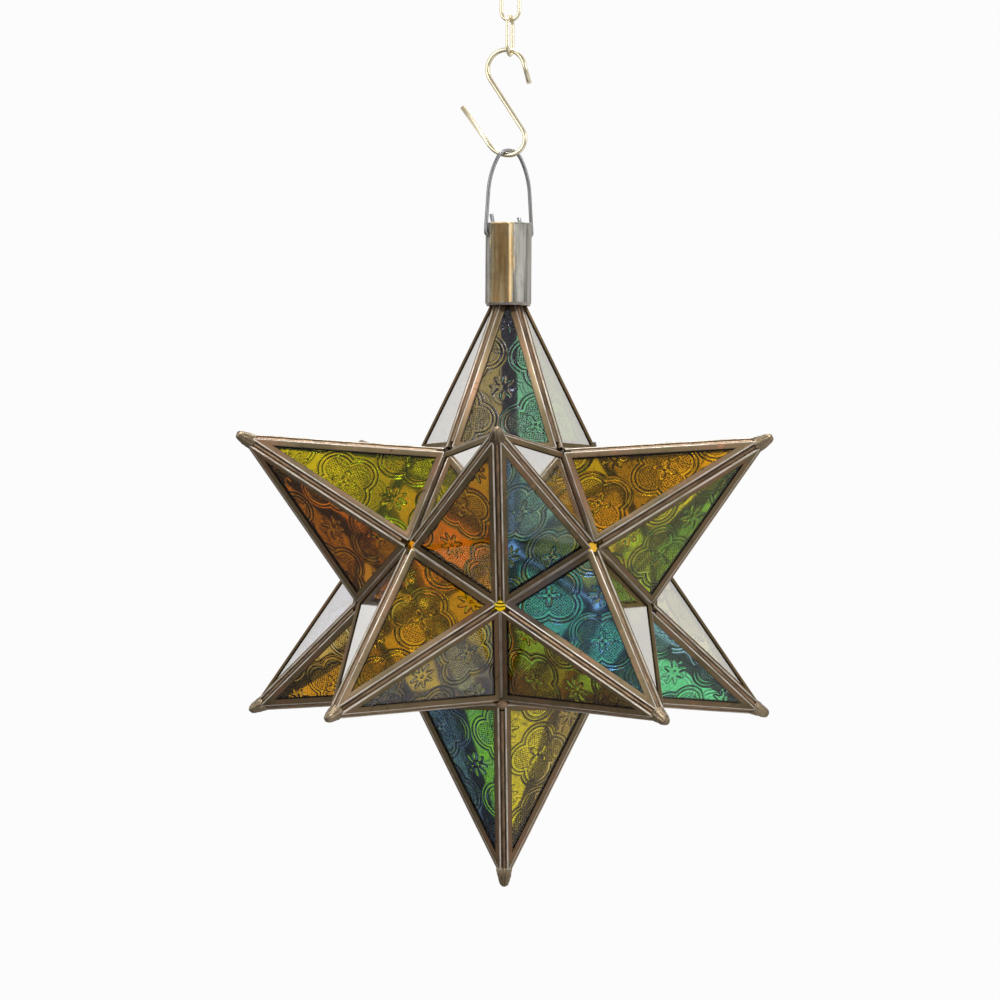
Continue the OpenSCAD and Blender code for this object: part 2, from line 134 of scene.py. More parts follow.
def useModifier(piece, kind, **settings):
    workOn(piece)
    modifier = piece.modifiers.new(kind.title(), kind)
    for key, value in settings.items():
        setattr(modifier, key, value)
    bpy.ops.object.modifier_apply(modifier=modifier.name)


def smoothUpTo(piece, degrees):
    workOn(piece)
    bpy.ops.object.shade_smooth_by_angle(angle=math.radians(degrees))


def roughen(piece, amount, pitch, seed=0.0):
    normals = [vertex.normal.copy() for vertex in piece.data.vertices]  # before any vertex moves
    for vertex, normal in zip(piece.data.vertices, normals):
        where = vertex.co * pitch + Vector((seed, seed * 2, seed * 3))
        vertex.co += normal * amount * lumps.noise(where)


def copyPiece(piece, name, matrix):
    mesh = piece.data.copy()
    mesh.transform(matrix)
    twin = bpy.data.objects.new(name, mesh)
    bpy.context.scene.collection.objects.link(twin)
    return twin


def joinPieces(pieces, name):
    startFresh()
    for piece in pieces:
        piece.select_set(True)
    bpy.context.view_layer.objects.active = pieces[0]
    bpy.ops.object.join()
    whole = bpy.context.view_layer.objects.active
    whole.name = name
    whole.data.name = name
    return whole


def placePiece(piece, body, slot, *nodes):
    piece.data.transform(shrinkToMetres)
    if nodes:
        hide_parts(*nodes)
    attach(piece, body)


# Small material helpers

def newMaterial(name):
    material = bpy.data.materials.new(name)
    material.use_nodes = True
    tree = material.node_tree
    return material, tree, tree.nodes["Principled BSDF"]


def addNode(tree, kind, settings=None, inputs=None):
    node = tree.nodes.new(kind)
    for key, value in (settings or {}).items():
        setattr(node, key, value)
    for key, value in (inputs or {}).items():
        if isinstance(value, bpy.types.NodeSocket):
            tree.links.new(value, node.inputs[key])
        else:
            node.inputs[key].default_value = value
    return node


def noise(tree, where, scale, detail=4, rough=0.55):
    return addNode(tree, "ShaderNodeTexNoise", None,
                   {"Vector": where, "Scale": scale, "Detail": detail, "Roughness": rough}).outputs["Fac"]


def grey(value):
    return (value, value, value)


def ramp(tree, value, stops):
    node = addNode(tree, "ShaderNodeValToRGB", None, {"Fac": value})
    band = node.color_ramp
    while len(band.elements) < len(stops):
        band.elements.new(0.5)
    for element, (place, colour) in zip(band.elements, stops):
        element.position = place
        element.color = (*colour, 1)
    return node.outputs["Color"]


def greyRamp(tree, value, stops):
    return ramp(tree, value, [(place, grey(depth)) for place, depth in stops])


# How far a value has gone from low to high, as 0 up to top
def share(tree, value, low, high, top=1.0):
    return addNode(tree, "ShaderNodeMapRange", None,
                   {"Value": value, "From Min": low, "From Max": high, "To Max": top}).outputs[0]


def blendColours(tree, amount, first, second, how="MIX"):
    node = addNode(tree, "ShaderNodeMix", {"data_type": "RGBA", "blend_type": how})
    for socket, value in ((node.inputs[0], amount), (node.inputs[6], first), (node.inputs[7], second)):
        if isinstance(value, bpy.types.NodeSocket):
            tree.links.new(value, socket)
        elif isinstance(value, (int, float)):
            socket.default_value = value
        else:
            socket.default_value = (*value, 1)
    return node.outputs[2]


def maths(tree, how, *values):
    return addNode(tree, "ShaderNodeMath", {"operation": how}, dict(enumerate(values))).outputs[0]


def vectorMaths(tree, how, first, second=(0, 0, 0), out=0):
    return addNode(tree, "ShaderNodeVectorMath", {"operation": how}, {0: first, 1: second}).outputs[out]


def partsOf(tree, vector):
    return addNode(tree, "ShaderNodeSeparateXYZ", None, {0: vector}).outputs


def mixShaders(tree, amount, first, second):
    return addNode(tree, "ShaderNodeMixShader", None, {0: amount, 1: first, 2: second}).outputs[0]


def showSurface(tree, surface):
    tree.links.new(surface, tree.nodes["Material Output"].inputs["Surface"])


def addBump(tree, shader, height, strength, distance):
    bump = addNode(tree, "ShaderNodeBump", None,
                   {"Height": height, "Strength": strength, "Distance": distance})
    tree.links.new(bump.outputs[0], shader.inputs["Normal"])


def objectPlace(tree):
    return addNode(tree, "ShaderNodeTexCoord").outputs["Object"]


def readAttribute(tree, name):
    return addNode(tree, "ShaderNodeAttribute", {"attribute_name": name}).outputs["Fac"]


def rayIs(tree, kind):
    return addNode(tree, "ShaderNodeLightPath").outputs["Is " + kind + " Ray"]


# Rays that come from the camera, straight or through the glass
def seenRay(tree):
    return maths(tree, "MAXIMUM", rayIs(tree, "Camera"), rayIs(tree, "Transmission"))


# The channel: brown patina with copper showing through, grime, painted shade in its recesses, and worn bends
# lightened by wear and a painted highlight
channelFinish = {
    "patina": [(0.35, (0.120, 0.092, 0.050)), (0.5, (0.165, 0.122, 0.068)), (0.64, (0.200, 0.118, 0.070))],
    "patinaScale": 26,
    "copper": (0.46, 0.20, 0.11), "copperScale": 120, "copperSpots": [(0.58, 0), (0.70, 1)],
    "copperShare": 0.5,
    "grime": (0.030, 0.024, 0.016), "grimeScale": 260, "grimeSpots": [(0.30, 0.75), (0.42, 0)],
    # The corner colour and its reach are painted shade on the lip by the glass and on the web, back and
    # inside
    "corner": (0.035, 0.027, 0.018), "paintedShadeReach": [(0.0, 0.7), (0.22, 0)],
    # The worn colour lightens the bends: partly real wear, partly a painted highlight
    "wornAndHighlight": (0.80, 0.74, 0.66), "wornAndHighlightReach": [(0.55, 0), (0.95, 1)], "wornAndHighlightShare": 0.9,
    "wornAndHighlightScale": 70, "wornAndHighlightSpots": [(0.30, 0.35), (0.6, 1)],
    "roughness": [(0.0, 0.46), (1.0, 0.38)], "metallic": 0.85, "specular": (0.42, 0.38, 0.32, 1),
    "relief": 0.30, "depth": 0.2 * mm,
}


def makeChannelMetal():
    finish = channelFinish
    material, tree, shader = newMaterial("agedChannel")
    where = objectPlace(tree)
    rubAndShade = readAttribute(tree, "rubAndShade")
    fine = noise(tree, where, finish["grimeScale"], 6, 0.7)
    colour = ramp(tree, noise(tree, where, finish["patinaScale"]), finish["patina"])
    copper = greyRamp(tree, noise(tree, where, finish["copperScale"], 6, 0.75), finish["copperSpots"])
    copper = maths(tree, "MULTIPLY", copper, finish["copperShare"])
    colour = blendColours(tree, copper, colour, finish["copper"])
    colour = blendColours(tree, greyRamp(tree, fine, finish["grimeSpots"]), colour, finish["grime"])
    # Painted shade: darkens the lip by the glass and the web, back and inside, where the rub is 0
    colour = blendColours(tree, greyRamp(tree, rubAndShade, finish["paintedShadeReach"]), colour, finish["corner"])
    # Wear and painted highlight: the bends are lightened towards the worn colour, and made smoother
    wornAndHighlight = maths(tree, "MULTIPLY", greyRamp(tree, rubAndShade, finish["wornAndHighlightReach"]),
                 greyRamp(tree, noise(tree, where, finish["wornAndHighlightScale"]), finish["wornAndHighlightSpots"]))
    colour = blendColours(tree, maths(tree, "MULTIPLY", wornAndHighlight, finish["wornAndHighlightShare"]), colour, finish["wornAndHighlight"])
    tree.links.new(colour, shader.inputs["Base Color"])
    tree.links.new(greyRamp(tree, wornAndHighlight, finish["roughness"]), shader.inputs["Roughness"])
    shader.inputs["Metallic"].default_value = finish["metallic"]
    shader.inputs["Specular Tint"].default_value = finish["specular"]
    addBump(tree, shader, fine, finish["relief"], finish["depth"])
    return material


# Each kind of glass as what a pane of it lets through, in linear light
glassKinds = {
    "amber": (0.76, 0.49, 0.008),
    "orange": (0.72, 0.28, 0.012),
    "rust": (0.75, 0.43, 0.045),
    "gold": (0.90, 0.60, 0.10),
    "brown": (0.52, 0.385, 0.074),
    "straw": (0.80, 0.72, 0.22),
    "lime": (0.72, 0.90, 0.025),
    "emerald": (0.28, 0.82, 0.32),
    "aqua": (0.42, 0.86, 0.76),
    "blue": (0.21, 0.47, 0.88),
    "mist": (0.58, 0.58, 0.76),
    # Painted shade: a flat dark grey tint for the two panes that show dark
    "paintedShade": (0.29, 0.25, 0.23),
}

# The pressed pattern's repeat, in millimetres: four round lobes to a figure. The flower in it and the
# rosette beside it are a number of petals, a size, how deep the petals are cut and a turn.
pattern = {"pitch": 47.0, "lobe": 10.2, "reach": 10.2, "dot": 1.45,
           "flower": (4, 8.0, 0.36, math.pi), "rosette": (8, 9.0, 0.26, 0.0)}

# How the pattern is painted into the glass as painted light and painted shade, standing for the light its
# pressed relief bends:
# distance outward from an outline in millimetres, and depth of shade, where 0 is the brightest, plain is the
# glass as it is and 1 is the darkest
shades = {
    "plain": 0.34,
    "lobe": [(-3.4, 0.34), (-3.0, 0.8), (-2.6, 0.8), (-2.2, 0.15), (-1.2, 0.15), (-0.8, 1.0), (-0.25, 1.0),
             (0.15, 0.0), (1.3, 0.0), (1.65, 1.0), (2.15, 1.0), (2.5, 0.34)],
    "flower": [(-7.0, 0.34), (-3.0, 0.2), (-2.5, 0.85), (-2.1, 0.1), (-0.7, 0.0), (-0.3, 1.0), (0.2, 1.0),
               (0.6, 0.34)],
    # dark and light set how far the painted shade and painted light go from the tint; relief is the painted
    # shade on steep slopes
    "dark": 0.003, "light": 0.15, "relief": 0.3,
    "dotShade": 0.9, "dotEdge": [(0.22, 1), (0.42, 0)], "dotUneven": 0.3,
}
glassFinish = {"roughness": [(0.0, 0.11), (1.0, 0.02)], "bending": 1.5, "relief": 0.5, "depth": 0.3 * mm,
               "film": [(0.5, 0), (0.7, 0.42), (0.85, 0.62)], "filmColour": (0.96, 0.93, 0.88, 1),
               "filmRoughness": 0.08}


def shadeByDistance(tree, distance, stops):
    low, high = stops[0][0], stops[-1][0]
    return greyRamp(tree, share(tree, distance, low, high),
                    [((place - low) / (high - low), depth) for place, depth in stops])


def flowerDistance(tree, spot, count, size, waist, turned):
    parts = partsOf(tree, spot)
    angle = maths(tree, "ARCTAN2", parts["Y"], parts["X"])
    wave = maths(tree, "COSINE", maths(tree, "MULTIPLY_ADD", angle, count, turned))
    outline = maths(tree, "MULTIPLY_ADD", wave, size * waist, size * (1 - waist))
    return maths(tree, "SUBTRACT", vectorMaths(tree, "LENGTH", spot, out="Value"), outline)


# The depth of painted shade and painted light all over the pattern, and the dots alone for the bumps
def paintPatternShade(tree):
    pitch, reach, plain = pattern["pitch"], pattern["reach"], shades["plain"]
    repeat = addNode(tree, "ShaderNodeUVMap", {"uv_map": "pattern"}).outputs[0]
    cell = vectorMaths(tree, "SUBTRACT", vectorMaths(tree, "FRACTION", repeat), (0.5, 0.5, 0))
    cell = vectorMaths(tree, "ABSOLUTE", vectorMaths(tree, "MULTIPLY", cell, (pitch, pitch, 0)))
    corner = vectorMaths(tree, "SUBTRACT", (pitch / 2, pitch / 2, 0), cell)
    lobes = [vectorMaths(tree, "DISTANCE", cell, centre, "Value")
             for centre in ((reach, 0, 0), (0, reach, 0))]
    outline = maths(tree, "SUBTRACT", maths(tree, "MINIMUM", *lobes), pattern["lobe"])
    lines = shadeByDistance(tree, outline, shades["lobe"])
    flower = flowerDistance(tree, cell, *pattern["flower"])
    rosette = flowerDistance(tree, corner, *pattern["rosette"])
    blooms = shadeByDistance(tree, maths(tree, "MINIMUM", flower, rosette), shades["flower"])
    stipple = addNode(tree, "ShaderNodeTexVoronoi", None,
                      {"Vector": repeat, "Scale": pitch / pattern["dot"], "Randomness": shades["dotUneven"]})
    stipple = greyRamp(tree, stipple.outputs["Distance"], shades["dotEdge"])
    dotted = maths(tree, "MULTIPLY", stipple, readAttribute(tree, "dots"))
    slope = readAttribute(tree, "slope")
    shade = maths(tree, "ADD", maths(tree, "SUBTRACT", lines, plain), maths(tree, "SUBTRACT", blooms, plain))
    shade = maths(tree, "ADD", shade, maths(tree, "MULTIPLY", dotted, shades["dotShade"]))
    shade = maths(tree, "ADD", shade, maths(tree, "MULTIPLY", slope, shades["relief"]))
    return maths(tree, "ADD", shade, plain), dotted


def makeGlass(kind):
    tint = glassKinds[kind]
    material, tree, shader = newMaterial(kind + "Glass")
    outer = readAttribute(tree, "outer")
    shade, dotted = paintPatternShade(tree)
    # Painted light and shade: the tint is lightened in the bands and darkened in the lines, dots and steep
    # slopes, standing for the light the relief bends
    light = tuple(c ** shades["light"] for c in tint)
    dark = tuple(c * shades["dark"] for c in tint)
    paintedLightAndShade = ramp(tree, shade, [(0.0, light), (shades["plain"], tint), (1.0, dark)])
    tree.links.new(blendColours(tree, outer, paintedLightAndShade, tint), shader.inputs["Base Color"])
    tree.links.new(greyRamp(tree, outer, glassFinish["roughness"]), shader.inputs["Roughness"])
    shader.inputs["Transmission Weight"].default_value = 1.0
    shader.inputs["IOR"].default_value = glassFinish["bending"]
    addBump(tree, shader, dotted, glassFinish["relief"], glassFinish["depth"])
    facing = addNode(tree, "ShaderNodeLayerWeight", None, {"Blend": 0.5}).outputs["Facing"]
    film = maths(tree, "MULTIPLY", outer, greyRamp(tree, facing, glassFinish["film"]))
    gloss = addNode(tree, "ShaderNodeBsdfGlossy", None,
                    {"Color": glassFinish["filmColour"], "Roughness": glassFinish["filmRoughness"]})
    sheen = mixShaders(tree, film, shader.outputs[0], gloss.outputs[0])
    through = addNode(tree, "ShaderNodeBsdfTransparent", None, {"Color": (*tint, 1)})
    showSurface(tree, mixShaders(tree, rayIs(tree, "Shadow"), sheen, through.outputs[0]))
    return material


# Wires, brass and solder: their colour, that of their stains, and how rough they are
metals = {
    "seamSolder": {"colour": (0.30, 0.20, 0.125), "dark": (0.12, 0.085, 0.055), "rough": 0.38,
                   "scale": 420, "stained": 0.8, "relief": 0.5},
    "tipSolder": {"colour": (0.30, 0.235, 0.155), "dark": (0.13, 0.095, 0.06), "rough": 0.42,
                  "scale": 300, "stained": 0.9, "relief": 0.4},
    "tinSolder": {"colour": (0.42, 0.38, 0.33), "dark": (0.20, 0.15, 0.11), "rough": 0.42, "scale": 260},
    "brassWire": {"colour": (0.84, 0.77, 0.57), "dark": (0.72, 0.61, 0.40), "rough": 0.30,
                  "scale": 60, "stained": 0.5, "relief": 0.02, "spread": 0.06},
    "ironWire": {"colour": (0.27, 0.27, 0.275), "dark": (0.17, 0.15, 0.13), "rough": 0.36,
                 "scale": 200, "relief": 0.06, "spread": 0.1},
    "leafBrass": {"colour": (0.40, 0.31, 0.17), "dark": (0.22, 0.15, 0.08), "rough": 0.38},
}
metalStains = {"coarser": 6, "spots": [(0.42, 0), (0.66, 1)]}
metalGrain = {"finer": 2, "low": 0.3, "high": 0.7, "depth": 0.1 * mm}


def makeMetal(name, colour, dark, rough, scale=300, stained=0.6, relief=0.25, spread=0.3):
    material, tree, shader = newMaterial(name)
    where = objectPlace(tree)
    stain = greyRamp(tree, noise(tree, where, scale / metalStains["coarser"]), metalStains["spots"])
    fine = noise(tree, where, scale * metalGrain["finer"], 5, 0.65)
    tree.links.new(blendColours(tree, maths(tree, "MULTIPLY", stain, stained), colour, dark),
                   shader.inputs["Base Color"])
    roughness = [(metalGrain["low"], rough * (1 - spread)), (metalGrain["high"], rough * (1 + spread))]
    tree.links.new(greyRamp(tree, fine, roughness), shader.inputs["Roughness"])
    shader.inputs["Metallic"].default_value = 1.0
    addBump(tree, shader, fine, relief, metalGrain["depth"])
    return material


# The neck: tinned, with a golden patch, in degrees round the tube to the right of its front
neckFinish = {
    "goldFrom": -46, "goldTo": 9, "soft": 6, "ragged": 16, "raggedScale": 110,
    "gold": [(0.32, (0.55, 0.35, 0.15)), (0.45, (0.78, 0.54, 0.25)), (0.62, (0.90, 0.74, 0.46))],
    "tin": [(0.35, (0.24, 0.225, 0.19)), (0.5, (0.36, 0.35, 0.31)), (0.65, (0.42, 0.41, 0.37))],
    "streakScale": 420, "streakSquash": 0.06,
    "soot": (0.09, 0.065, 0.04), "sootScale": 45, "sootSpots": [(0.52, 0), (0.72, 1)], "sootShare": 0.45,
    "roughness": [(0.0, 0.20), (1.0, 0.55)], "metallic": [(0.0, 0.7), (1.0, 0.6)],
    "relief": 0.12, "depth": 0.15 * mm,
}


def makeNeckMetal():
    finish = neckFinish
    material, tree, shader = newMaterial("neckSheet")
    where = objectPlace(tree)
    parts = partsOf(tree, where)
    angle = maths(tree, "ARCTAN2", parts["X"], maths(tree, "MULTIPLY", parts["Y"], -1.0))
    angle = maths(tree, "MULTIPLY", angle, math.degrees(1))
    ragged = maths(tree, "SUBTRACT", noise(tree, where, finish["raggedScale"], 5, 0.65), 0.5)
    angle = maths(tree, "ADD", angle, maths(tree, "MULTIPLY", ragged, 2 * finish["ragged"]))
    right = share(tree, angle, finish["goldTo"], finish["goldTo"] + finish["soft"])
    left = share(tree, angle, finish["goldFrom"], finish["goldFrom"] - finish["soft"])
    tinned = maths(tree, "ADD", right, left)
    upright = addNode(tree, "ShaderNodeMapping", None,
                      {"Vector": where, "Scale": (1, 1, finish["streakSquash"])}).outputs[0]
    streaks = noise(tree, upright, finish["streakScale"], 4, 0.6)
    colour = ramp(tree, streaks, finish["gold"])
    colour = blendColours(tree, tinned, colour, ramp(tree, streaks, finish["tin"]))
    soot = greyRamp(tree, noise(tree, where, finish["sootScale"], 5, 0.7), finish["sootSpots"])
    colour = blendColours(tree, maths(tree, "MULTIPLY", soot, finish["sootShare"]), colour, finish["soot"])
    tree.links.new(colour, shader.inputs["Base Color"])
    tree.links.new(greyRamp(tree, tinned, finish["roughness"]), shader.inputs["Roughness"])
    tree.links.new(greyRamp(tree, tinned, finish["metallic"]), shader.inputs["Metallic"])
    addBump(tree, shader, streaks, finish["relief"], finish["depth"])
    return material


# The candle's finishes: two colours that are mottled together
candleFinishes = {
    "candleCup": {"colour": (0.75, 0.75, 0.77), "second": (0.62, 0.62, 0.65), "rough": 0.3, "metallic": 1.0},
    "candleWax": {"colour": (0.88, 0.85, 0.78), "second": (0.80, 0.77, 0.70), "rough": 0.45},
    "candleWick": {"colour": (0.10, 0.09, 0.08), "second": (0.30, 0.27, 0.22), "rough": 0.9},
}
mottle = {"scale": 200, "relief": 0.1, "depth": 0.1 * mm}


def makeMottled(name, colour, second, rough, metallic=0.0):
    material, tree, shader = newMaterial(name)
    mottled = noise(tree, objectPlace(tree), mottle["scale"])
    tree.links.new(blendColours(tree, mottled, colour, second), shader.inputs["Base Color"])
    shader.inputs["Roughness"].default_value = rough
    shader.inputs["Metallic"].default_value = metallic
    addBump(tree, shader, mottled, mottle["relief"], mottle["depth"])
    return material


channelMetal = makeChannelMetal()
glassOf = {kind: makeGlass(kind) for kind in glassKinds}
finishOf = {name: makeMetal(name, **settings) for name, settings in metals.items()}
finishOf["neckSheet"] = makeNeckMetal()
finishOf.update({name: makeMottled(name, **settings) for name, settings in candleFinishes.items()})
print("materials made")

# The nodes that keep their CAD shape, by finish. Those with curves are shown by merged, smooth copies.
nodesOf = {
    "brassWire": ["upper_link", "lower_link", "s_hook"],
    "ironWire": ["bail", "hinge_pin", "door_pull"],
    "neckSheet": ["neck_tube"],
    "tinSolder": ["neck_solder", "valley_solder"],
    "leafBrass": ["fixed_leaves", "door_leaves", "candle_bar", "candle_holder"],
    "candleCup": ["candle_cup"],
    "candleWax": ["candle_wax"],
    "candleWick": ["candle_wick"],
}
flatNodes = ["fixed_leaves", "door_leaves", "candle_bar", "valley_solder"]
rounding = {"merge": 1e-6, "smooth": 40}  # metres and degrees
collar = {"cuts": 3, "lump": 0.3, "pitch": 0.35}  # the uneven solder round the neck


def smoothNode(node):
    piece = copyPiece(frame["nodes"][node], node + "Round", Matrix())
    editMesh(piece, "VERT")
    bpy.ops.mesh.select_all(action="SELECT")
    bpy.ops.mesh.remove_doubles(threshold=rounding["merge"])
    if node == "neck_solder":
        bpy.ops.mesh.subdivide(number_cuts=collar["cuts"])
    leaveEdit()
    if node == "neck_solder":
        piece.data.transform(Matrix.Scale(1 / mm, 4))
        roughen(piece, collar["lump"], collar["pitch"])
        piece.data.transform(shrinkToMetres)
    smoothUpTo(piece, rounding["smooth"])
    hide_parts(node)
    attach(piece, bodyOfNode[node])
    return piece


for finish, nodes in nodesOf.items():
    for node in nodes:
        piece = frame["nodes"][node] if node in flatNodes else smoothNode(node)
        piece.data.materials.clear()
        piece.data.materials.append(finishOf[finish])
print("nodes finished")

# Solder that closes the five lower corners of the core
blob = {"size": 4.3, "sunk": 1.4, "lump": 0.5, "pitch": 0.5, "smooth": 60}


def closeLowerCorners():
    startFresh()
    bpy.ops.mesh.primitive_ico_sphere_add(subdivisions=4, radius=blob["size"])
    lump = settle("cornerLump")
    roughen(lump, blob["lump"], blob["pitch"])
    smoothUpTo(lump, blob["smooth"])
    outward = Matrix.Translation((baseRadius - blob["sunk"], 0, coreInner - blob["sunk"]))
    corners = [copyPiece(lump, "corner", places["bottom"] @ turn((k + 0.5) * fifth, "Z") @ outward)
               for k in sides]
    corners = joinPieces(corners, "lowerCorners")
    placePiece(corners, "lantern", "solder")
    corners.data.materials.append(finishOf["seamSolder"])
    bpy.data.objects.remove(lump)


closeLowerCorners()
print("lower corners closed")

# One pane's channel: a ring inset from a triangle, with its bend and crown, its web and its back flange.
# Its rub, from 0 to 1, says where use has polished it: most on the bend, a little on the flange. The finish
# paints the polish lighter, partly as a highlight, and paints shade where the rub is 0: on the lip by the
# glass and on the web, back and inside.
section = {"bendAngles": (0, 22, 42, 60, 76, 90), "crownSteps": 4, "snipAngle": 30, "smooth": 40}
rubbing = {"place": 0.55, "width": 0.75, "flange": 0.3, "lipWidth": 0.3, "skin": 0.1}


def triangleSizes(baseInset, ridgeInset):
    drop = ridgeInset / math.cos(halfApex)
    half = star["edge"] / 2
    top = slant * (1 - drop / half)
    return half * (1 - baseInset / slant) - drop, baseInset, top


def distanceToSides(point):
    out = [point.y - channel["gap"]]
    for side in (-1, 1):
        edgeX = star["edge"] / 2 - side * point.x
        out.append(edgeX * math.cos(halfApex) - point.y * math.sin(halfApex) - channel["ridge"])
    return min(out)


def sectionHeight(inward):
    bend = channel["bend"]
    if inward < bend:
        return math.sqrt(max(0.0, bend ** 2 - (bend - inward) ** 2)) - bend
    return -channel["lip"] * ((inward - bend) / (channel["flange"] - bend)) ** 2


def addTriangle(name, half, low, high):
    startFresh()
    bpy.ops.mesh.primitive_circle_add(vertices=3, radius=1, fill_type="NGON")  # 1.5 high
    stretch = (high - low) / 1.5
    bpy.ops.transform.resize(value=(half / math.cos(math.radians(30)), stretch, 1))
    bpy.ops.transform.translate(value=(0, low + stretch / 2, 0))
    return settle(name)


def snipCorners(piece):
    starMiddle = panePlace("top", 0).inverted() @ Vector((0, 0, star["centre"]))
    snip = section["snipAngle"]
    for side in (-1, 1):
        corner = Vector((side * star["edge"] / 2, 0, 0))
        radial = (corner - starMiddle).normalized()
        along = Vector((-side, 0, 0))
        along = (along - radial * along.dot(radial)).normalized()
        flats = [Matrix.Rotation(math.radians(angle), 3, radial) @ along for angle in (-snip, snip)]
        away = max(flats, key=lambda flat: flat.y)
        editMesh(piece)
        bpy.ops.mesh.select_all(action="SELECT")
        bpy.ops.mesh.bisect(plane_co=corner + away * channel["corner"], plane_no=away,
                            use_fill=True, clear_inner=True)
        leaveEdit()


# Where this is 0, on the lip by the glass and below the surface, the finish paints shade; on the bend it is
# polish, partly painted as a highlight
def rubAndShadeAt(point):
    inward = distanceToSides(point)
    if point.z <= sectionHeight(max(inward, 0.0)) - rubbing["skin"]:
        return 0.0
    bend = channel["bend"]
    rubbed = math.exp(-((inward - bend * rubbing["place"]) / (bend * rubbing["width"])) ** 2)
    onLip = inward > channel["flange"] - rubbing["lipWidth"]
    return max(rubbed, 0.0 if onLip else rubbing["flange"])


def makeChannelRing():
    half, low, high = triangleSizes(channel["gap"], channel["ridge"])
    ring = addTriangle("channelRing", half, low, high)
    bendSteps = [channel["bend"] * (1 - math.cos(math.radians(angle))) for angle in section["bendAngles"]]
    steps = [after - before for before, after in zip(bendSteps, bendSteps[1:])]
    crownStep = (channel["flange"] - channel["bend"]) / section["crownSteps"]
    editMesh(ring)
    bpy.ops.mesh.select_all(action="SELECT")
    for step in steps + [crownStep] * section["crownSteps"]:
        bpy.ops.mesh.inset(thickness=step, use_even_offset=True)
    bpy.ops.mesh.delete(type="FACE")
    leaveEdit()
    for vertex in ring.data.vertices:
        vertex.co.z = sectionHeight(distanceToSides(vertex.co))
    inRadius = half * (high - low) / (half + math.hypot(half, high - low))
    halfFlange = channel["flange"] / 2
    editMesh(ring, "EDGE")
    pickEdges(ring, lambda middle, edge: edge.is_boundary and distanceToSides(middle) < halfFlange)
    bpy.ops.mesh.extrude_region_move(
        TRANSFORM_OT_translate={"value": (0, 0, channel["bend"] - channel["depth"])})
    shrink = 1 - channel["flange"] / inRadius
    bpy.ops.mesh.extrude_region_move(TRANSFORM_OT_translate={"value": (0, 0, 0)})
    bpy.ops.transform.resize(value=(shrink, shrink, 1), center_override=(0, low + inRadius, 0))
    leaveEdit()
    useModifier(ring, "SOLIDIFY", thickness=channel["sheet"], offset=-1)
    rubAndShade = ring.data.attributes.new("rubAndShade", "FLOAT", "POINT")
    for vertex, value in zip(ring.data.vertices, rubAndShade.data):
        value.value = rubAndShadeAt(vertex.co)
    snipCorners(ring)
    smoothUpTo(ring, section["smooth"])
    return ring


# The solder laid along a ridge's groove, made upright and then put at its place in a point
ridge = {"start": 6.0, "end": 131.0, "sunk": 2.75, "halfWidth": 1.25, "halfHeight": 0.75,
         "sides": 10, "cuts": 44, "lump": 0.3, "pitch": 0.22, "smooth": 60}


def makeRidgeSeam():
    startFresh()
    length = ridge["end"] - ridge["start"]
    bpy.ops.mesh.primitive_cylinder_add(vertices=ridge["sides"], radius=1, depth=length,
                                        location=(0, 0, ridge["start"] + length / 2))
    bpy.ops.transform.resize(value=(ridge["halfHeight"], ridge["halfWidth"], 1))
    seam = settle("ridgeSeam")
    editMesh(seam, "EDGE")
    pickEdges(seam, lambda middle, edge: abs(edge.verts[0].co.z - edge.verts[1].co.z) > 1)
    bpy.ops.mesh.subdivide(number_cuts=ridge["cuts"])
    leaveEdit()
    roughen(seam, ridge["lump"], ridge["pitch"])
    smoothUpTo(seam, ridge["smooth"])
    rise = math.atan2(pointHeight, baseRadius)
    seam.data.transform(Matrix.Translation((baseRadius, 0, coreInner)) @ turn(rise - math.pi / 2, "Y")
                        @ Matrix.Translation((-ridge["sunk"], 0, 0)))
    return seam


# The lump of solder that ends a point, as heights from the star's centre and radii. It swells with the
# point's five sides and has a notch at each ridge.
tip = {"profile": [(186.0, 4.6), (187.6, 5.3), (190.0, 5.0), (192.8, 4.3), (195.2, 3.7), (197.2, 3.1),
                   (198.6, 2.4), (199.2, 1.2)],
       "around": 40, "lump": 0.45, "pitch": 0.55, "pentagon": 0.09, "notch": 0.2, "notchWidth": 0.17,
       "smooth": 60}


def makeTipCap():
    startFresh()
    low, radius = tip["profile"][0]
    bpy.ops.mesh.primitive_circle_add(vertices=tip["around"], radius=radius, fill_type="NGON",
                                      location=(0, 0, low))
    cap = settle("tipCap")
    editMesh(cap)
    bpy.ops.mesh.select_all(action="SELECT")
    for (height, radius), (nextHeight, nextRadius) in zip(tip["profile"], tip["profile"][1:]):
        bpy.ops.mesh.extrude_region_move(TRANSFORM_OT_translate={"value": (0, 0, nextHeight - height)})
        bpy.ops.transform.resize(value=(nextRadius / radius, nextRadius / radius, 1),
                                 center_override=(0, 0, nextHeight))
    leaveEdit()
    for vertex in cap.data.vertices:
        angle = math.atan2(vertex.co.y, vertex.co.x)
        fromRidge = math.remainder(angle - fifth / 2, fifth)
        swell = (1 + tip["pentagon"] * math.cos(star["sides"] * fromRidge)
                 - tip["notch"] * math.exp(-(fromRidge / tip["notchWidth"]) ** 2))
        vertex.co.x *= swell
        vertex.co.y *= swell
    useModifier(cap, "SUBSURF", levels=1, render_levels=1)
    smoothUpTo(cap, tip["smooth"])
    return cap


# Pressed glass: a lattice of four-lobed outlines with a flower in each and a rosette between them
pressing = {"line": 0.62, "second": 1.9, "secondShare": 0.9, "step": 0.55, "rise": 0.5, "thick": 2.0,
            "seat": 0.8, "margin": 2, "bloomShare": 0.9, "petalEdge": 1.6, "heart": 1.4, "heartShare": 0.25,
            "dotsFrom": 2.6, "dotsSoft": 0.6, "dotsClear": 3, "probe": 0.25, "steepness": 1.5,
            "steepest": 0.9, "smooth": 60}


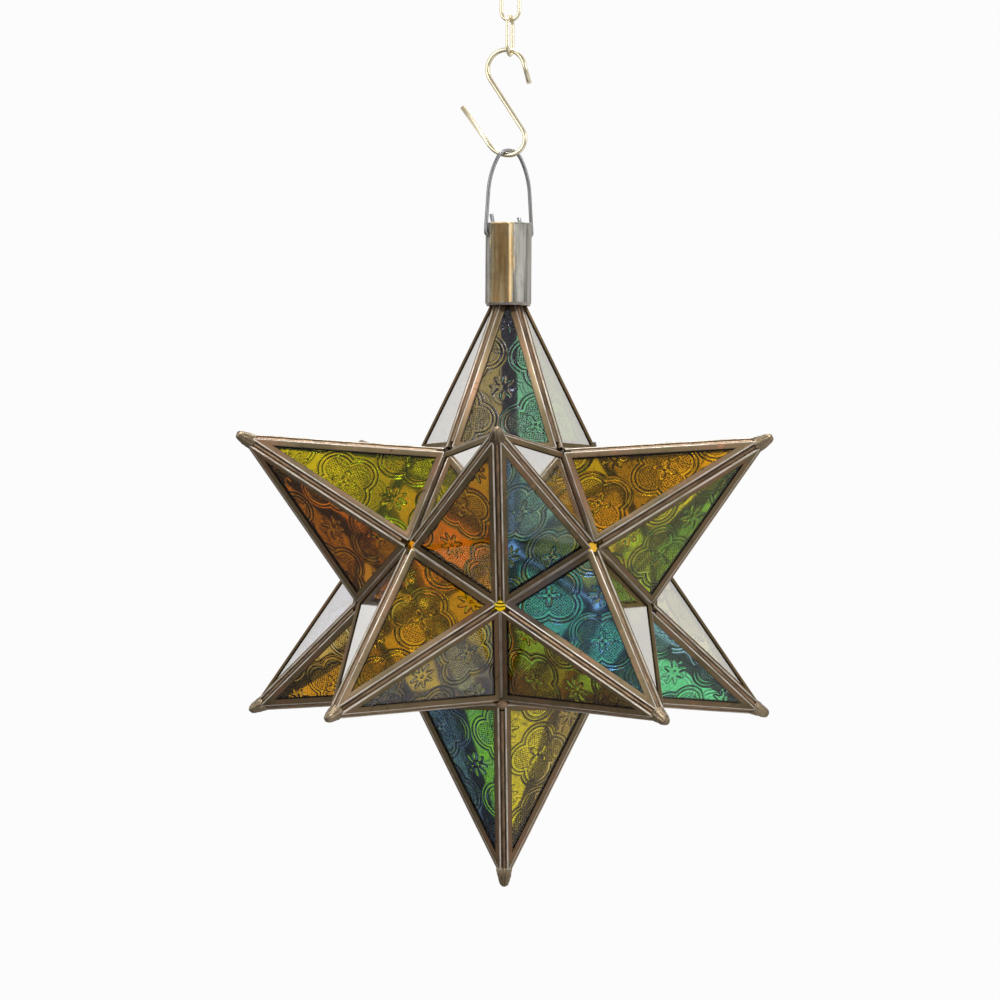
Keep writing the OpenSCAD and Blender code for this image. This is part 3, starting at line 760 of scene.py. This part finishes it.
def bell(distance, width):
    return np.exp(-(distance / width) ** 2)


def petals(x, y, count, size, waist, turned):
    radius = np.hypot(x, y)
    angle = np.arctan2(y, x) * count + turned
    outline = size * (1 - waist + waist * np.cos(angle))
    inside = np.clip((outline - radius) / pressing["petalEdge"], 0, 1)
    return inside * np.clip(radius / pressing["heart"], pressing["heartShare"], 1)


def reliefAt(x, y):
    pitch = pattern["pitch"]
    cellX = (x / pitch - np.floor(x / pitch) - 0.5) * pitch
    cellY = (y / pitch - np.floor(y / pitch) - 0.5) * pitch
    lobes = [np.hypot(cellX - a * pattern["reach"], cellY - b * pattern["reach"]) - pattern["lobe"]
             for a, b in ((1, 0), (-1, 0), (0, 1), (0, -1))]
    outline = np.minimum.reduce(lobes)
    second = pressing["secondShare"] * bell(outline - pressing["second"], pressing["line"])
    height = np.maximum(bell(outline, pressing["line"]), second)
    flower = petals(cellX, cellY, *pattern["flower"])
    rosette = petals(pitch / 2 - np.abs(cellX), pitch / 2 - np.abs(cellY), *pattern["rosette"])
    height = np.maximum(height, pressing["bloomShare"] * np.maximum(flower, rosette))
    dotted = np.clip((-outline - pressing["dotsFrom"]) / pressing["dotsSoft"], 0, 1)
    return height, dotted * np.clip(1 - flower * pressing["dotsClear"], 0, 1)


# A fine grid, faced into the lantern and cut to the pane's triangle
def makeSheet(name):
    half, low, high = triangleSizes(channel["gap"] + pressing["seat"], channel["ridge"] + pressing["seat"])
    sizeX, sizeY = 2 * half + pressing["margin"], high - low + pressing["margin"]
    startFresh()
    bpy.ops.mesh.primitive_grid_add(x_subdivisions=round(sizeX / pressing["step"]),
                                    y_subdivisions=round(sizeY / pressing["step"]), size=1)
    bpy.ops.transform.resize(value=(sizeX, sizeY, 1))
    bpy.ops.transform.rotate(value=math.pi, orient_axis="Y", center_override=(0, 0, 0))
    bpy.ops.transform.translate(value=(0, (low + high) / 2, 0))
    sheet = settle(name)
    editMesh(sheet)
    corners = [Vector((-half, low, 0)), Vector((half, low, 0)), Vector((0, high, 0))]
    for first, second in zip(corners, corners[1:] + corners[:1]):
        along = second - first
        outward = Vector((along.y, -along.x, 0)).normalized()
        bpy.ops.mesh.select_all(action="SELECT")
        bpy.ops.mesh.bisect(plane_co=first, plane_no=outward, clear_outer=True)
    leaveEdit()
    return sheet


# Raises the pattern on the inner face, and writes its place, slope and dots down for the glass, which paints
# shade where it is steep and dotted
def pressSheet(sheet, shiftX, shiftY, spin):
    mesh = sheet.data
    spots = np.empty(len(mesh.vertices) * 3)
    mesh.vertices.foreach_get("co", spots)
    spots = spots.reshape(-1, 3)
    cosine, sine = math.cos(spin), math.sin(spin)
    x = spots[:, 0] * cosine - spots[:, 1] * sine + shiftX
    y = spots[:, 0] * sine + spots[:, 1] * cosine + shiftY
    height, dotted = reliefAt(x, y)
    probe = pressing["probe"]
    slopeX = (reliefAt(x + probe, y)[0] - reliefAt(x - probe, y)[0]) / (2 * probe)
    slopeY = (reliefAt(x, y + probe)[0] - reliefAt(x, y - probe)[0]) / (2 * probe)
    steep = np.clip(np.hypot(slopeX, slopeY) * pressing["steepness"], 0, pressing["steepest"])
    spots[:, 2] = -(pressing["thick"] - pressing["rise"]) - height * pressing["rise"]
    mesh.vertices.foreach_set("co", spots.ravel())
    for key, values in (("slope", steep), ("dots", dotted)):
        mesh.attributes.new(key, "FLOAT", "POINT").data.foreach_set("value", values.astype(np.float32))
    layer = mesh.uv_layers.new(name="pattern")
    loops = np.empty(len(mesh.loops), dtype=np.int64)
    mesh.loops.foreach_get("vertex_index", loops)
    layer.data.foreach_set("uv", (np.stack([x, y], 1) / pattern["pitch"])[loops].ravel())


# Adds the edges and the flat outer face, which carries no pattern
def closeSheet(sheet):
    editMesh(sheet, "EDGE")
    pickEdges(sheet, lambda middle, edge: edge.is_boundary)
    bpy.ops.mesh.extrude_region_move(TRANSFORM_OT_translate={"value": (0, 0, 0)})
    bpy.ops.transform.resize(value=(1, 1, 0), center_override=(0, 0, 0))
    bpy.ops.mesh.edge_face_add()
    leaveEdit()
    mesh = sheet.data
    outer = mesh.attributes.new("outer", "FLOAT", "POINT")
    for vertex in mesh.vertices:
        if vertex.co.z > -0.01:  # the outer face is at 0
            outer.data[vertex.index].value = 1
            for key in ("slope", "dots"):
                mesh.attributes[key].data[vertex.index].value = 0
    layer = mesh.uv_layers["pattern"]
    for face in mesh.polygons:
        if face.normal.z > 0.5:
            for loop in face.loop_indices:
                layer.data[loop].uv = (0, 0)


def makePane(name, shiftX, shiftY, spin):
    pane = makeSheet(name)
    pressSheet(pane, shiftX, shiftY, spin)
    closeSheet(pane)
    smoothUpTo(pane, pressing["smooth"])
    return pane


# Where the five cuts lie on the pressed glass: a shift each way in millimetres and a turn in radians
paneCuts = [(6, 4, 0.1), (20, -8, 0.8), (-14, 15, 1.4), (2, 30, 2.2), (30, 12, 2.9)]
ring = makeChannelRing()
seam = makeRidgeSeam()
cap = makeTipCap()
panes = [makePane("paneCut%d" % i, *cut) for i, cut in enumerate(paneCuts)]
print("channel ring and panes modelled:", len(ring.data.polygons), len(panes[0].data.polygons))

# Which glass each pane is, going round a point from its first pane
paneGlass = {
    "top": ["mist", "brown", "emerald", "brown", "mist"],
    "front": ["mist", "mist", "rust", "blue", "mist"],
    "right": ["straw", "amber", "lime", "blue", "gold"],
    "door": ["amber", "paintedShade", "lime", "rust", "straw"],
    "back_left": ["amber", "brown", "orange", "lime", "orange"],
    "left": ["amber", "rust", "brown", "orange", "lime"],
    "lower_front_right": ["amber", "brown", "brown", "blue", "rust"],
    "lower_right": ["blue", "emerald", "mist", "straw", "aqua"],
    "lower_back": ["amber", "straw", "amber", "emerald", "lime"],
    "lower_left": ["amber", "gold", "mist", "mist", "amber"],
    "lower_front_left": ["lime", "mist", "amber", "mist", "straw"],
    "bottom": ["lime", "mist", "gold", "blue", "paintedShade"],
}
glassTop = -(channel["lip"] + channel["sheet"] + channel["play"])


def cutAtNeck(piece):
    editMesh(piece)
    bpy.ops.mesh.select_all(action="SELECT")
    bpy.ops.mesh.bisect(plane_co=(0, 0, star["centre"] + star["topCut"]), plane_no=(0, 0, 1),
                        use_fill=True, clear_outer=True)
    leaveEdit()


def glaze(point, number):
    sheets = []
    for k in sides:
        cut = panes[(number * 2 + k) % len(panes)]
        sheet = copyPiece(cut, "sheet", panePlace(point, k) @ Matrix.Translation((0, 0, glassTop)))
        sheet.data.materials.append(glassOf[paneGlass[point][k]])
        sheets.append(sheet)
    return joinPieces(sheets, point + "Panes")


def dressPoint(point, number):
    body = bodyOfNode[point + "_frame"]
    channels = joinPieces([copyPiece(ring, "ring", panePlace(point, k)) for k in sides], point + "Channels")
    seams = joinPieces([copyPiece(seam, "seam", places[point] @ turn((k + 0.5) * fifth, "Z")) for k in sides],
                       point + "Seams")
    glass = glaze(point, number)
    if point == "top":
        for piece in (channels, seams, glass):
            cutAtNeck(piece)
    else:
        end = copyPiece(cap, point + "Tip", places[point])
        roughen(end, tip["lump"], tip["pitch"], number)
        placePiece(end, body, "solder", "door_tip" if point == "door" else "tip_solder")
        end.data.materials.append(finishOf["tipSolder"])
    placePiece(channels, body, "patina_channel", point + "_frame")
    placePiece(seams, body, "solder")
    placePiece(glass, body, slotOf[point + "_glass"], point + "_glass")
    channels.data.materials.append(channelMetal)
    seams.data.materials.append(finishOf["seamSolder"])
    print(point, "dressed")


for number, point in enumerate(places):
    dressPoint(point, number)
for piece in [ring, seam, cap] + panes:
    bpy.data.objects.remove(piece)

# The camera. starX and starY are where the star's centre stands in the picture, and focal is in pixels.
view = {"distance": 3.1755, "focal": 4942.2, "starX": 506.3, "starY": 576.1, "picture": 1000,
        "roll": 0.40, "pitch": -0.03, "yaw": -2.14, "sensor": 36.0}
starCentre = Vector((0, 0, star["centre"] * mm))


def setCamera():
    cameraData = bpy.data.cameras.new("camera")
    camera = bpy.data.objects.new("camera", cameraData)
    bpy.context.scene.collection.objects.link(camera)
    bpy.context.scene.camera = camera
    cameraData.sensor_width = view["sensor"]
    cameraData.lens = view["focal"] * view["sensor"] / view["picture"]
    cameraData.clip_end = 50
    turned = (turn(math.radians(view["pitch"]), "X") @ turn(math.radians(view["roll"]), "Y")
              @ turn(math.radians(view["yaw"]), "Z")).to_3x3()
    back = turned.transposed()
    half = view["picture"] / 2
    offX = (half - view["starX"]) / view["focal"]
    offZ = (view["starY"] - half) / view["focal"]
    ahead = back @ Vector((offX, 1, offZ)).normalized()
    right = ahead.cross(back @ Vector((0, 0, 1))).normalized()
    above = right.cross(ahead)
    spot = back @ Vector((0, -view["distance"], 0)) + starCentre
    rows = [[right[i], above[i], -ahead[i], spot[i]] for i in range(3)]
    camera.matrix_world = Matrix(rows + [[0, 0, 0, 1]])


# What the camera sees behind the lantern, what lights it, and what metal and glass mirror. A window is
# its degrees to the right of the front, its half width in degrees and its strength.
studio = {"seen": (0.975, 0.972, 0.975), "light": 0.62, "mirrored": [(0.25, 0.30), (0.5, 0.85), (0.6, 0.95)],
          "windows": [(-46, 15, 2.6), (10, 7, 1.3)], "windowSoft": 0.25}


def setStudio():
    world = bpy.data.worlds.new("studio")
    bpy.context.scene.world = world
    world.use_nodes = True
    tree = world.node_tree
    direction = addNode(tree, "ShaderNodeTexCoord").outputs["Generated"]
    fromFront = maths(tree, "MULTIPLY_ADD", partsOf(tree, direction)["Y"], 0.5, 0.5)
    mirrored = greyRamp(tree, fromFront, studio["mirrored"])
    for azimuth, half, strength in studio["windows"]:
        towards = (math.sin(math.radians(azimuth)), -math.cos(math.radians(azimuth)), 0)
        nearness = vectorMaths(tree, "DOT_PRODUCT", direction, towards, "Value")
        edge = math.cos(math.radians(half))
        glow = share(tree, nearness, edge - studio["windowSoft"] * (1 - edge), edge, strength)
        mirrored = blendColours(tree, 1.0, mirrored, glow, "ADD")
    light = blendColours(tree, rayIs(tree, "Glossy"), grey(studio["light"]), mirrored)
    light = blendColours(tree, seenRay(tree), light, studio["seen"])
    tree.links.new(light, tree.nodes["Background"].inputs["Color"])


lamps = {
    "keyLamp": {"spot": (-1.5, -1.6, 0.9), "size": 0.8, "power": 15},
    "ridgeLamp": {"spot": (-0.05, -0.62, 1.95), "size": 0.4, "power": 26},
    "fillLamp": {"spot": (1.7, -1.2, 0.3), "size": 0.8, "power": 12},
    "backLamp": {"spot": (0.4, 1.6, 1.4), "size": 1.0, "power": 14},
}


def addLamp(name, spot, size, power):
    lampData = bpy.data.lights.new(name, "AREA")
    lampData.size = size
    lampData.energy = power
    lamp = bpy.data.objects.new(name, lampData)
    bpy.context.scene.collection.objects.link(lamp)
    lamp.location = spot
    lamp.rotation_euler = (starCentre - Vector(spot)).to_track_quat("-Z", "Y").to_euler()


# The floor fades out where the camera sees it, is clear from below, and is darker on the left where
# metal and glass mirror it
floorLook = {"height": -1.0, "radius": 2.6, "around": 64, "fadeFrom": 0.7, "fadeTo": 1.9,
             "seen": 0.9, "mirrored": [(0.0, 0.2), (1.0, 0.62)], "roughness": 0.7}


def makeFloorMaterial():
    material, tree, shader = newMaterial("paleFloor")
    across = maths(tree, "ADD", partsOf(tree, objectPlace(tree))["X"], 0.5)
    mirrored = greyRamp(tree, across, floorLook["mirrored"])
    tree.links.new(blendColours(tree, rayIs(tree, "Glossy"), grey(floorLook["seen"]), mirrored),
                   shader.inputs["Base Color"])
    shader.inputs["Roughness"].default_value = floorLook["roughness"]
    away = vectorMaths(tree, "LENGTH", objectPlace(tree), out="Value")
    fade = share(tree, away, floorLook["fadeFrom"], floorLook["fadeTo"])
    fade = maths(tree, "MAXIMUM", fade, addNode(tree, "ShaderNodeNewGeometry").outputs["Backfacing"])
    fade = maths(tree, "MULTIPLY", seenRay(tree), fade)
    clear = addNode(tree, "ShaderNodeBsdfTransparent")
    showSurface(tree, mixShaders(tree, fade, shader.outputs[0], clear.outputs[0]))
    return material


setCamera()
setStudio()
for name, settings in lamps.items():
    addLamp(name, **settings)
startFresh()
bpy.ops.mesh.primitive_circle_add(vertices=floorLook["around"], radius=floorLook["radius"],
                                  fill_type="NGON", location=(0, 0, floorLook["height"]))
floor = bpy.context.object
floor.name = "floor"
floor.data.materials.append(makeFloorMaterial())
print("camera, lamps and floor set")
